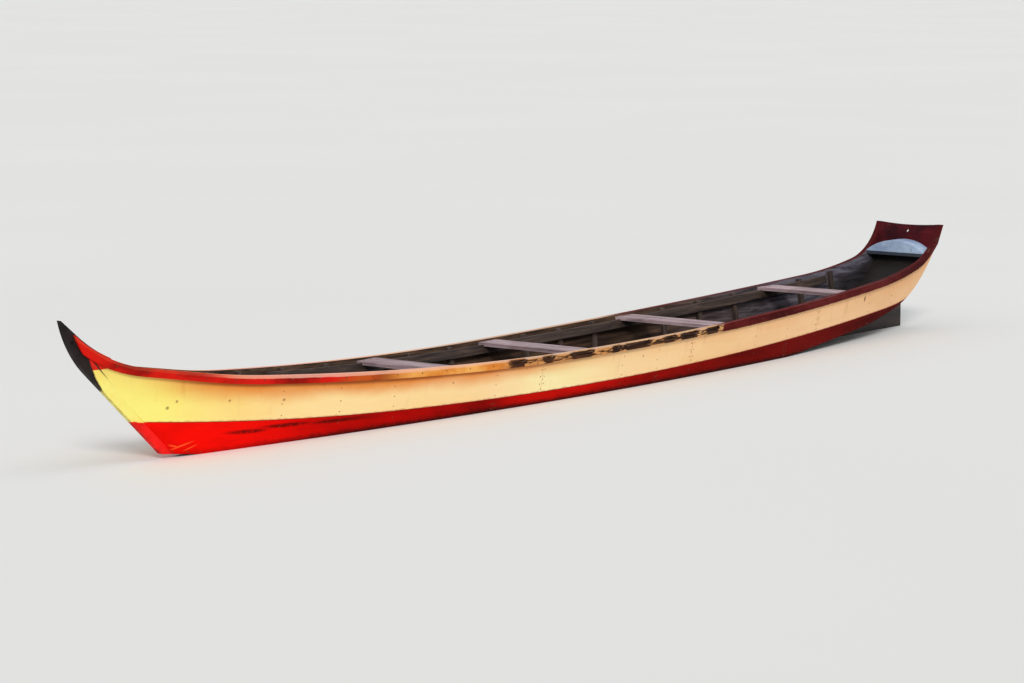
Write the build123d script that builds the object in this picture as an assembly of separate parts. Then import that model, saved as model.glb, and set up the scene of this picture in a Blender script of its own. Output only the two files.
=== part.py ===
from build123d import *
import math
import os

# Wooden river canoe: a long plank-built boat with a flat rockered bottom, a raked stem and a high stern.
# Millimetres. +X points to the bow, +Y to port and +Z up. The origin is the middle of the boat's box, on
# the floor that it stands on. A station is a distance aft of the stem's foot, and so lies at x = -station
# until the finished boat is moved over its origin. A rise is a height above the water that it floats in.

# Hull sides: each is a cone about an upright axis, one forward of the widest station and one aft of it.
# The half breadths are at the water, at the widest station and at the feet of the stem and the transom.
DRAUGHT = 110.0
HALF_BREADTH = 432.0
BOW_HALF_BREADTH = 22.0
STERN_HALF_BREADTH = 168.0
FLARE = 0.174
WIDEST_STATION = 4800.0

# Planks, the clearance between neighbouring pieces, and the gap where two lengths butt
PLANK = 22.0
BOTTOM_PLANK = 25.0
FIT = 0.4
JOINT_GAP = 1.0

# Long curves run both ways from one level station, as stretches of even bend: (length, turn in degrees)
LEVEL_STATION = 3600.0
SHEER_RISE = 317.0
SHEER_FORE = ((2850, 4.8), (480, 4.6), (480, 0), (568, 28.8), (400, 0))
SHEER_AFT = ((4225, 3.6), (640, 8), (530, 49.5), (400, 0))
SEAM_RISE = 60.0
SEAM_FORE = ((1700, 1.7), (2140, 4.8), (800, 0))
SEAM_AFT = ((4450, 3.8), (440, 9.2), (800, 0))
ROCKER_FORE = ((1000, 0), (880, 0.87), (1724, 5.85), (900, 0))
ROCKER_AFT = ((1400, 0), (1000, 5.37), (1560, 0), (700, 9), (640, 40.2), (500, 0))

# Stem: its front edge runs up from the foot as stretches of even bend
STEM_FOOT_STATION = 70.0
STEM_FOOT_RISE = -54.0
STEM_RAKE = 42.0
STEM_FRONT = ((940, 0), (400, 33), (600, 0))
STEM_WIDTH = 36.0
STEM_DEPTH = 190.0
STEM_FACE = 60.0
STEM_HEAD = 14.0
PAINTER_HOLE = 20.0
PAINTER_HOLE_INSET = 32.0
PAINTER_HOLE_HEIGHT = 0.6  # share of the way up the bend in the stem's head

# Transom
TRANSOM_FOOT_STATION = 8774.0
TRANSOM_FOOT_RISE = 557.0
TRANSOM_RAKE = 18.0
TRANSOM_THICKNESS = 26.0
TRANSOM_DIP = 14.0
MOORING_HOLE = 26.0
MOORING_HOLE_DROP = 45.0

# Strakes are butted from shorter planks on the middle lines of these frames, counted from the bow
UPPER_STRAKE_BUTTS = (5, 8, 11)
LOWER_STRAKE_BUTTS = (4, 7, 10)
CENTRE_BOTTOM_BUTTS = (3, 8, 11)
SIDE_BOTTOM_BUTTS = (3, 6, 9, 12)

# Bottom and skeg
CENTRE_PLANK_WIDTH = 280.0
SKEG_FORE_STATION = 6600.0
SKEG_AFT_STATION = 8700.0
SKEG_THICKNESS = 40.0
SKEG_FLOOR_CLEARANCE = 50.0

# Rub rails, in three lengths a side; splits broken out of the port middle length: (station, length, depth)
RAIL_THICKNESS = 20.0
RAIL_DEPTH = 55.0
RAIL_JOINTS = (2900.0, 5400.0)
RAIL_SPLITS = (
    (3010, 170, 30),
    (3330, 110, 22),
    (3700, 240, 34),
    (4080, 90, 26),
    (4330, 300, 38),
    (4720, 140, 30),
    (4960, 220, 40),
    (5260, 170, 34),
)
SPLIT_SLOPE = 35.0

# Frames: the number in each bay from bow to stern
RIB_WIDTH = 42.0
RIB_DEPTH = 28.0
RIB_HEAD_DROP = 12.0
FLOOR_TIMBER_HEIGHT = 40.0
FRAMES_IN_BAY = (3, 2, 3, 3, 2)
FIRST_BAY_STATION = 420.0
LAST_BAY_STATION = 8500.0

# Thwarts rest in notches in the risers
THWART_STATIONS = (2360.0, 3790.0, 5470.0, 7280.0)
THWART_WIDTH = 220.0
THWART_THICKNESS = 25.0
THWART_DROP = 14.0
RISER_THICKNESS = 20.0
RISER_DEPTH = 60.0
RISER_DROP = 28.0
RISER_ENDS = (1200.0, 8000.0)

# Bow and stern ends
BREASTHOOK_STATION = 150.0
BREASTHOOK_THICKNESS = 32.0
BREASTHOOK_HOLLOW = 55.0
BREASTHOOK_DROP = 10.0
DECK_STATION = 8620.0
DECK_EDGE_RISE = 600.0
DECK_CAMBER = 92.0
DECK_CHORD = 540.0
DECK_THICKNESS = 20.0
DECK_BEAM_THICKNESS = 24.0
DECK_BEAM_DEPTH = 12.0

# Reach of the shapes that cut the pieces, which only has to pass the boat's own
ROOM = 700.0
HULL_HEIGHT = DRAUGHT + TRANSOM_FOOT_RISE + ROOM
BEYOND_BOW = sum(length for length, turn in STEM_FRONT)
BEYOND_STERN = TRANSOM_FOOT_STATION + ROOM

PORT = 1
STARBOARD = -1
SIDES = (("port", PORT), ("starboard", STARBOARD))


def point(station, rise):
    """A place in the boat's middle plane."""
    return Vector(-station, 0, DRAUGHT + rise)


def polygon(*corners):
    return Face(Wire.make_polygon(corners, close=True))


def stretches(start, heading, toward, rows, offset=0.0):
    """Edges of a chain of tangent stretches, with the whole chain moved to its upper side by offset."""
    edges = []
    angle = math.radians(heading)
    here = start + Vector(-toward * math.sin(angle), 0, math.cos(angle)) * offset
    for length, turn_degrees in rows:
        turn = math.radians(turn_degrees)
        run = length - offset * turn
        along = Vector(toward * math.cos(angle), 0, math.sin(angle))
        if turn == 0:
            there = here + along * run
            edges.append(Edge.make_line(here, there))
        else:
            radius = run / turn
            centre = here + Vector(-toward * math.sin(angle), 0, math.cos(angle)) * radius
            halfway = angle + turn / 2
            angle += turn
            middle = centre + Vector(toward * math.sin(halfway), 0, -math.cos(halfway)) * radius
            there = centre + Vector(toward * math.sin(angle), 0, -math.cos(angle)) * radius
            onward = Vector(toward * math.cos(angle), 0, math.sin(angle))
            edges.append(Edge.make_spline([here, middle, there], tangents=(along, onward)))
        here = there
    return edges


def batten(rise, fore, aft, offset=0.0):
    """A long curve that is level at the level station: its edges toward the stern and toward the bow."""
    start = point(LEVEL_STATION, rise)
    return stretches(start, 0, -1, aft, offset), stretches(start, 0, 1, fore, offset)


def area_past(curve, height):
    """The side-view area between a long curve and a level line above or below it."""
    backward, forward = curve
    stern = backward[-1] @ 1
    bow = forward[-1] @ 1
    corners = [bow, Vector(bow.X, 0, height), Vector(stern.X, 0, height), stern]
    closing = [Edge.make_line(a, b) for a, b in zip(corners, corners[1:])]
    return Face(Wire(backward + forward + closing))


def above(curve):
    return area_past(curve, 2 * HULL_HEIGHT)


def below(curve):
    return area_past(curve, -HULL_HEIGHT)


def sheer(offset=0.0):
    return batten(SHEER_RISE, SHEER_FORE, SHEER_AFT, offset)


def seam(offset=0.0):
    return batten(SEAM_RISE, SEAM_FORE, SEAM_AFT, offset)


def rocker(offset=0.0):
    return batten(-DRAUGHT, ROCKER_FORE, ROCKER_AFT, offset)


def level(rise):
    """A level line the length of the boat."""
    return batten(rise, ((LEVEL_STATION + BEYOND_BOW, 0),), ((BEYOND_STERN - LEVEL_STATION, 0),))


def stem_curve(offset):
    """The stem's front edge moved aft by offset, from well below its foot to well above its head."""
    lead = ROOM
    rake = math.radians(STEM_RAKE)
    start = point(STEM_FOOT_STATION, STEM_FOOT_RISE) - Vector(math.cos(rake), 0, math.sin(rake)) * lead
    return stretches(start, STEM_RAKE, 1, ((lead, 0),) + STEM_FRONT, offset)


def aft_of_stem(offset):
    """The side-view area aft of the stem's front edge moved aft by offset."""
    front = stem_curve(offset)
    foot = front[0] @ 0
    head = front[-1] @ 1
    corners = [head, Vector(-BEYOND_STERN, 0, head.Z), Vector(-BEYOND_STERN, 0, foot.Z), foot]
    closing = [Edge.make_line(a, b) for a, b in zip(corners, corners[1:])]
    return Face(Wire(front + closing))


def fore_of_transom(offset):
    """The side-view area forward of the transom's aft face moved forward by offset."""
    rake = math.radians(TRANSOM_RAKE)
    normal = Vector(math.cos(rake), 0, math.sin(rake))
    foot = point(TRANSOM_FOOT_STATION, TRANSOM_FOOT_RISE) + normal * offset
    along = Vector(-math.sin(rake), 0, math.cos(rake)) * HULL_HEIGHT
    low = foot - along
    high = foot + along
    return polygon(low, high, Vector(BEYOND_BOW, 0, high.Z), Vector(BEYOND_BOW, 0, low.Z))


def between(fore_station, aft_station):
    return polygon(
        point(fore_station, -HULL_HEIGHT),
        point(fore_station, HULL_HEIGHT),
        point(aft_station, HULL_HEIGHT),
        point(aft_station, -HULL_HEIGHT),
    )


def overlap(areas):
    shared = areas[0]
    for area in areas[1:]:
        shared = shared & area
    return shared


def across(*areas, half_width=ROOM):
    """What lies within all these side-view areas, across the boat."""
    return extrude(overlap(areas), amount=half_width, dir=(0, 1, 0), both=True)


def outboard(side, inner, *areas):
    """What lies within all these side-view areas, outward of a distance from the middle plane."""
    return extrude(Pos(0, side * inner, 0) * overlap(areas), amount=ROOM, dir=(0, side, 0))


def beside_stem(side, *areas):
    return outboard(side, STEM_WIDTH / 2 + FIT, *areas)


def side_radius(run, half_breadth):
    """The radius of a side that narrows to this half breadth, a run away from the widest station."""
    drop = HALF_BREADTH - half_breadth
    return (run**2 + drop**2) / (2 * drop)


def side_shell(side, outer, inner):
    """A curved wall along the whole side, between two depths inward of the hull's outside."""
    low = -HULL_HEIGHT / 4
    high = HULL_HEIGHT
    corners = []
    for height, depth in ((low, outer), (high, outer), (high, inner), (low, inner)):
        breadth = HALF_BREADTH + FLARE * (height - DRAUGHT) - depth
        corners.append(Vector(-WIDEST_STATION, side * breadth, height))
    section = polygon(*corners)
    fore_radius = side_radius(WIDEST_STATION - STEM_FOOT_STATION, BOW_HALF_BREADTH)
    aft_radius = side_radius(TRANSOM_FOOT_STATION - WIDEST_STATION, STERN_HALF_BREADTH)
    halves = []
    for radius, direction, reach in (
        (fore_radius, -side, WIDEST_STATION + BEYOND_BOW),
        (aft_radius, side, BEYOND_STERN - WIDEST_STATION),
    ):
        axis = Axis((-WIDEST_STATION, -side * (radius - HALF_BREADTH), 0), (0, 0, 1))
        halves.append(revolve(section, axis, direction * math.degrees(reach / radius)))
    return halves[0] + halves[1]


def interior(depth):
    """All that lies between the two sides, inward of the hull's outside by depth."""
    return side_shell(PORT, depth, 2 * ROOM) & side_shell(STARBOARD, depth, 2 * ROOM)


def frame_stations():
    """Frames spaced evenly in each bay, so that none meets a thwart."""
    ends = (FIRST_BAY_STATION,) + THWART_STATIONS + (LAST_BAY_STATION,)
    stations = []
    for count, fore, aft in zip(FRAMES_IN_BAY, ends, ends[1:]):
        step = (aft - fore) / (count + 1)
        stations += [fore + step * (number + 1) for number in range(count)]
    return stations


def butted(joints):
    """Side-view areas that divide a long piece into lengths, a gap apart at these stations."""
    ends = (-BEYOND_BOW, *joints, BEYOND_STERN)
    return [between(fore + JOINT_GAP / 2, aft - JOINT_GAP / 2) for fore, aft in zip(ends, ends[1:])]


def at_frames(numbers):
    stations = frame_stations()
    return [stations[number - 1] for number in numbers]


def strake(side, butts, *limits):
    """One row of side planks within these limits."""
    area = overlap([*limits, above(rocker()), aft_of_stem(STEM_FACE), fore_of_transom(0)])
    wall = side_shell(side, 0, PLANK)
    planks = []
    for length in butted(at_frames(butts)):
        planks += (wall & beside_stem(side, area, length)).solids()
    return planks


def lower_strake(side):
    return strake(side, LOWER_STRAKE_BUTTS, below(seam(-FIT)))


def upper_strake(side):
    return strake(side, UPPER_STRAKE_BUTTS, above(seam()), below(sheer()))


def rail_lengths(side):
    """The rub rail of one side in its lengths."""
    band = overlap([above(sheer(-RAIL_DEPTH)), below(sheer()), aft_of_stem(STEM_FACE), fore_of_transom(0)])
    wall = side_shell(side, -FIT - RAIL_THICKNESS, -FIT)
    names = ("fore", "middle", "aft")
    return {name: wall & beside_stem(side, band, length) for name, length in zip(names, butted(RAIL_JOINTS))}


def split_out(rail):
    """A rail with splinters broken out of its upper edge, each with sloped ends."""
    for station, length, depth in RAIL_SPLITS:
        bottom = sheer_height(station) - depth
        top = bottom + 2 * RAIL_DEPTH
        spread = SPLIT_SLOPE * 2 * RAIL_DEPTH / depth
        splinter = polygon(
            Vector(-station + length / 2 - SPLIT_SLOPE, 0, bottom),
            Vector(-station + length / 2 - SPLIT_SLOPE + spread, 0, top),
            Vector(-station - length / 2, 0, top),
            Vector(-station - length / 2, 0, bottom),
        )
        rail = rail - across(splinter)
    return rail


def bottom_strakes():
    """Three rows of planks, flat athwart and bent to the rocker."""
    band = overlap(
        [above(rocker()), below(rocker(BOTTOM_PLANK)), aft_of_stem(STEM_DEPTH + FIT), fore_of_transom(0)]
    )
    half = CENTRE_PLANK_WIDTH / 2
    inside = interior(PLANK + FIT)
    rows = {"centre": [], "port": [], "starboard": []}
    for length in butted(at_frames(CENTRE_BOTTOM_BUTTS)):
        rows["centre"] += (inside & across(band, length, half_width=half)).solids()
    for length in butted(at_frames(SIDE_BOTTOM_BUTTS)):
        for name, side in SIDES:
            rows[name] += (inside & outboard(side, half + FIT, band, length)).solids()
    return rows


def stem_post():
    front = stem_curve(0)
    back = stem_curve(STEM_DEPTH)
    ends = [Edge.make_line(front[0] @ 0, back[0] @ 0), Edge.make_line(front[-1] @ 1, back[-1] @ 1)]
    timber = Face(Wire(front + back + ends))
    post = across(timber, above(rocker()), below(sheer(STEM_HEAD)), half_width=STEM_WIDTH / 2)
    bend = stem_curve(PAINTER_HOLE_INSET)[2]
    centre = bend @ PAINTER_HOLE_HEIGHT
    return post - Pos(centre.X, 0, centre.Z) * Rot(90, 0, 0) * Cylinder(PAINTER_HOLE / 2, 2 * STEM_WIDTH)


def transom():
    """A board let down between the strakes onto the bottom planks, its upper edge hollowed."""
    board = across(
        fore_of_transom(0) - fore_of_transom(TRANSOM_THICKNESS),
        above(rocker(BOTTOM_PLANK + FIT)),
        below(sheer()),
    )
    board = interior(PLANK + FIT) & board
    box = board.bounding_box()
    middle = box.center()
    radius = ((box.size.Y / 2) ** 2 + TRANSOM_DIP**2) / (2 * TRANSOM_DIP)
    rim = box.max.Z - TRANSOM_DIP
    hollow = Pos(middle.X, 0, rim + radius) * Rot(0, 90, 0) * Cylinder(radius, ROOM)
    hole_place = Pos(middle.X, 0, rim - MOORING_HOLE_DROP) * Rot(0, 90 - TRANSOM_RAKE, 0)
    return board - hollow - hole_place * Cylinder(MOORING_HOLE / 2, ROOM / 2)


def skeg():
    area = (
        below(rocker(-FIT)),
        above(level(SKEG_FLOOR_CLEARANCE - DRAUGHT)),
        between(SKEG_FORE_STATION, SKEG_AFT_STATION),
    )
    return across(*area, half_width=SKEG_THICKNESS / 2)


def frames():
    """Floor timbers across the bottom and the ribs that stand on their ends."""
    floor_top = BOTTOM_PLANK + FIT + FLOOR_TIMBER_HEIGHT
    floor_band = above(rocker(BOTTOM_PLANK + FIT)) & below(rocker(floor_top))
    rib_band = above(rocker(floor_top + FIT)) & below(sheer(-RIB_HEAD_DROP))
    inside = interior(PLANK + FIT)
    walls = {name: side_shell(side, PLANK + FIT, PLANK + FIT + RIB_DEPTH) for name, side in SIDES}
    floors = []
    ribs = {name: [] for name, side in SIDES}
    for station in frame_stations():
        place = between(station - RIB_WIDTH / 2, station + RIB_WIDTH / 2)
        floors += (inside & across(floor_band, place)).solids()
        for name, side in SIDES:
            ribs[name] += (walls[name] & outboard(side, 0, rib_band, place)).solids()
    return floors, ribs


def sheer_height(station):
    """The sheer's height above the floor at a station."""
    backward, forward = sheer()
    upright = Edge.make_line(point(station, -HULL_HEIGHT), point(station, HULL_HEIGHT))
    for edge in backward + forward:
        if edge.bounding_box().min.X <= -station <= edge.bounding_box().max.X:
            return edge.find_intersection_points(upright)[0].Z
    raise ValueError(f"no sheer at station {station}")


def thwart_top(station):
    return sheer_height(station) - THWART_DROP


def thwart(station):
    board = Pos(-station, 0, thwart_top(station) - THWART_THICKNESS / 2)
    return interior(PLANK + FIT) & board * Box(THWART_WIDTH, 2 * ROOM, THWART_THICKNESS)


def riser(side):
    """A strip along the ribs, notched for the thwarts' ends."""
    depth = PLANK + FIT + RIB_DEPTH + FIT
    area = (above(sheer(-RISER_DROP - RISER_DEPTH)), below(sheer(-RISER_DROP)), between(*RISER_ENDS))
    strip = side_shell(side, depth, depth + RISER_THICKNESS) & outboard(side, 0, *area)
    notch = Box(THWART_WIDTH + 2 * FIT, 2 * ROOM, HULL_HEIGHT, align=(Align.CENTER, Align.CENTER, Align.MIN))
    for station in THWART_STATIONS:
        strip = strip - Pos(-station, 0, thwart_top(station) - THWART_THICKNESS - FIT) * notch
    return strip


def breasthook():
    """A knee between the sides behind the stem, its aft edge hollowed."""
    area = (
        above(sheer(-BREASTHOOK_DROP - BREASTHOOK_THICKNESS)),
        below(sheer(-BREASTHOOK_DROP)),
        aft_of_stem(STEM_DEPTH + FIT),
        between(-BEYOND_BOW, BREASTHOOK_STATION),
    )
    knee = interior(PLANK + FIT) & across(*area)
    box = knee.bounding_box()
    radius = ((box.size.Y / 2) ** 2 + BREASTHOOK_HOLLOW**2) / (2 * BREASTHOOK_HOLLOW)
    return knee - Pos(box.min.X + BREASTHOOK_HOLLOW - radius, 0, 0) * Cylinder(radius, 2 * HULL_HEIGHT)


def camber_cylinder(drop):
    """A long cylinder that gives the stern deck its camber, its crown lowered by drop."""
    radius = ((DECK_CHORD / 2) ** 2 + DECK_CAMBER**2) / (2 * DECK_CAMBER)
    crown = DRAUGHT + DECK_EDGE_RISE + DECK_CAMBER
    return Pos(-DECK_STATION, 0, crown - radius) * Rot(0, 90, 0) * Cylinder(radius - drop, 2 * ROOM)


def stern_deck():
    area = (
        between(DECK_STATION, BEYOND_STERN),
        fore_of_transom(TRANSOM_THICKNESS + FIT),
        above(rocker(BOTTOM_PLANK + FIT)),
        above(level(DECK_EDGE_RISE - DECK_THICKNESS)),
    )
    return interior(PLANK + FIT) & across(*area) & (camber_cylinder(0) - camber_cylinder(DECK_THICKNESS))


def stern_deck_beam():
    area = (
        between(DECK_STATION, DECK_STATION + DECK_BEAM_THICKNESS),
        above(level(DECK_EDGE_RISE - DECK_THICKNESS - DECK_BEAM_DEPTH)),
    )
    return interior(PLANK + FIT) & across(*area) & camber_cylinder(DECK_THICKNESS + FIT)


def boat():
    """Every piece of the boat by its name."""
    pieces = {
        "stem_post": stem_post(),
        "transom": transom(),
        "skeg": skeg(),
        "breasthook": breasthook(),
        "stern_deck": stern_deck(),
        "stern_deck_beam": stern_deck_beam(),
    }
    for name, planks in bottom_strakes().items():
        pieces[f"bottom_strake_{name}"] = Compound(planks)
    floors, ribs = frames()
    pieces["floor_timbers"] = Compound(floors)
    for name, side in SIDES:
        pieces[f"lower_strake_{name}"] = Compound(lower_strake(side))
        pieces[f"upper_strake_{name}"] = Compound(upper_strake(side))
        for part_name, length in rail_lengths(side).items():
            pieces[f"rub_rail_{name}_{part_name}"] = length
        pieces[f"ribs_{name}"] = Compound(ribs[name])
        pieces[f"thwart_riser_{name}"] = riser(side)
    pieces["rub_rail_port_middle"] = split_out(pieces["rub_rail_port_middle"])
    for number, station in enumerate(THWART_STATIONS, 1):
        pieces[f"thwart_{number}"] = thwart(station)
    return pieces


def export_boat():
    pieces = boat()
    boxes = [piece.bounding_box() for piece in pieces.values()]
    middle = (max(box.max.X for box in boxes) + min(box.min.X for box in boxes)) / 2
    os.makedirs("parts", exist_ok=True)
    for name, piece in pieces.items():
        export_step(Pos(-middle, 0, 0) * piece, f"parts/{name}.step")


export_boat()
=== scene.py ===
import bpy
import math
import random
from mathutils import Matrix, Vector


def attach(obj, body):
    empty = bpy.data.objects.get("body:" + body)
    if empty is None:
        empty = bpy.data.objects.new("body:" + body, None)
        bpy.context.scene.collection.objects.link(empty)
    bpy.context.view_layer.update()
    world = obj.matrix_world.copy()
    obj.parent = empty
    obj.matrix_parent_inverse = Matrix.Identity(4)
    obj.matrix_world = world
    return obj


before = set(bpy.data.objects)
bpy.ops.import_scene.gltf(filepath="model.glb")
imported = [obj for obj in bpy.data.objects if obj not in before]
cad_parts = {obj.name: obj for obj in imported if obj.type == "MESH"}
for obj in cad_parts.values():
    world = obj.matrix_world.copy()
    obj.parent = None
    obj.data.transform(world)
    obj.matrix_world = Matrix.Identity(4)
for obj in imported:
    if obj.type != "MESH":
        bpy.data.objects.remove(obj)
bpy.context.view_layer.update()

# The hull's lines, in metres. As in the part's source, a station is a distance aft of the stem's foot, at
# x = STEM_FOOT - station, and a rise is a height above DRAUGHT. The long curves are a rise at the level
# station, then the stretches (length, turn in degrees) that run forward and aft from it.
STEM_FOOT = 4.0118
DRAUGHT = 0.110             # the height that the breadths and rises are given from
WATERLINE = 0.088           # where the empty boat displaces its own 305 kg
HALF_BREADTH, BOW_HALF_BREADTH, STERN_HALF_BREADTH = 0.432, 0.022, 0.168
FLARE, WIDEST, TRANSOM_STATION = 0.174, 4.8, 8.774
LEVEL_STATION = 3.6
SHEER = (0.317, ((2.85, 4.8), (0.48, 4.6), (0.48, 0), (0.568, 28.8), (0.4, 0)),
         ((4.225, 3.6), (0.64, 8), (0.53, 49.5), (0.4, 0)))
SEAM = (0.060, ((1.7, 1.7), (2.14, 4.8), (0.8, 0)), ((4.45, 3.8), (0.44, 9.2), (0.8, 0)))
ROCKER = (-0.110, ((1.0, 0), (0.88, 0.87), (1.724, 5.85), (0.9, 0)),
          ((1.4, 0), (1.0, 5.37), (1.56, 0), (0.7, 9), (0.64, 40.2), (0.5, 0)))
STEM_RISE, STEM_STATION, STEM_RAKE = -0.054, 0.07, 42
STEM_FRONT = ((0.94, 0), (0.4, 33), (0.6, 0))
CURVE_STEP = 0.03
ALONG = 10                  # looks give stations as shares of this length

PLANK, FIT = 0.022, 0.0004
THWARTS = (2.36, 3.79, 5.47, 7.28)
THWART_DROP = 0.014
RIB_DEPTH = 0.028
FRAMES_IN_BAY = (3, 2, 3, 3, 2)
BAY_ENDS = (0.42, *THWARTS, 8.5)
BUTTS = {"upper_strake": (5, 8, 11), "lower_strake": (4, 7, 10)}
RAIL_THICKNESS, RAIL_DEPTH = 0.020, 0.055
RAIL_JOINTS = (2.9, 5.4)
RAIL_SPLITS = ((3.01, 0.17, 0.03), (3.33, 0.11, 0.022), (3.7, 0.24, 0.034), (4.08, 0.09, 0.026),
               (4.33, 0.3, 0.038), (4.72, 0.14, 0.03), (4.96, 0.22, 0.04), (5.26, 0.17, 0.034))
DECK_EDGE = 0.705           # z under which the stern deck is near black, as painted shade
CORNER_EDGE = (0.698, 0.706)    # z over which the bow's paint goes over to red


def run_out(rise, rows, toward, start=LEVEL_STATION, heading=0.0):
    """Points (x, z) along one half of a long curve."""
    x, z, angle = STEM_FOOT - start, DRAUGHT + rise, math.radians(heading)
    points = [(x, z)]
    for length, turn in rows:
        pieces = max(2, int(length / CURVE_STEP))
        half_turn = math.radians(turn) / pieces / 2
        for _ in range(pieces):
            angle += half_turn
            x += toward * math.cos(angle) * length / pieces
            z += math.sin(angle) * length / pieces
            angle += half_turn
            points.append((x, z))
    return points


def long_curve(rise, fore, aft):
    """The whole curve from stern to bow."""
    return run_out(rise, aft, -1)[:0:-1] + run_out(rise, fore, 1)


def read(points, at):
    """The second number of the points where the first is this, held at both ends."""
    for (a, c), (b, d) in zip(points, points[1:]):
        if a <= at <= b:
            return c + (d - c) * (at - a) / (b - a)
    return points[0][1] if at < points[0][0] else points[-1][1]


LINES = {"sheer": long_curve(*SHEER), "seam": long_curve(*SEAM), "rocker": long_curve(*ROCKER)}
STEM_EDGE = [(z, x) for x, z in run_out(STEM_RISE, STEM_FRONT, 1, STEM_STATION, STEM_RAKE)]


def height(line, x):
    return read(LINES[line], x)


def side_radius(run, half_breadth):
    """The radius of a side that narrows to this half breadth, a run away from the widest station."""
    drop = HALF_BREADTH - half_breadth
    return (run * run + drop * drop) / (2 * drop)


FORE_RADIUS = side_radius(WIDEST - STEM_STATION, BOW_HALF_BREADTH)
AFT_RADIUS = side_radius(TRANSOM_STATION - WIDEST, STERN_HALF_BREADTH)


def breadth(x, z, depth=0.0):
    """Half the hull's breadth at a height, inward of its outside by depth."""
    reach = STEM_FOOT - x - WIDEST
    radius = AFT_RADIUS if reach > 0 else FORE_RADIUS
    cone = radius + FLARE * (z - DRAUGHT) - depth
    return math.sqrt(cone * cone - reach * reach) - radius + HALF_BREADTH


def skin(x, z, side, depth=0.0):
    """A point of the hull's side and the outward direction there."""
    here = Vector((x, side * breadth(x, z, depth), z))
    step = 0.01
    slope = (breadth(x + step, z, depth) - breadth(x - step, z, depth)) / (2 * step)
    return here, Vector((-slope, side, -FLARE)).normalized()


def frame_stations():
    stations = []
    for count, fore, aft in zip(FRAMES_IN_BAY, BAY_ENDS, BAY_ENDS[1:]):
        stations += [fore + (aft - fore) * (i + 1) / (count + 1) for i in range(count)]
    return stations


FRAMES_X = [STEM_FOOT - s for s in frame_stations()]


# Materials
def colour(r, g, b):
    """A colour given as it looks on a screen, 0 to 255."""
    return (*(c / 255 / 12.92 if c <= 10 else ((c / 255 + 0.055) / 1.055) ** 2.4 for c in (r, g, b)), 1)


def grey(level):
    return (level, level, level, 1)


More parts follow.
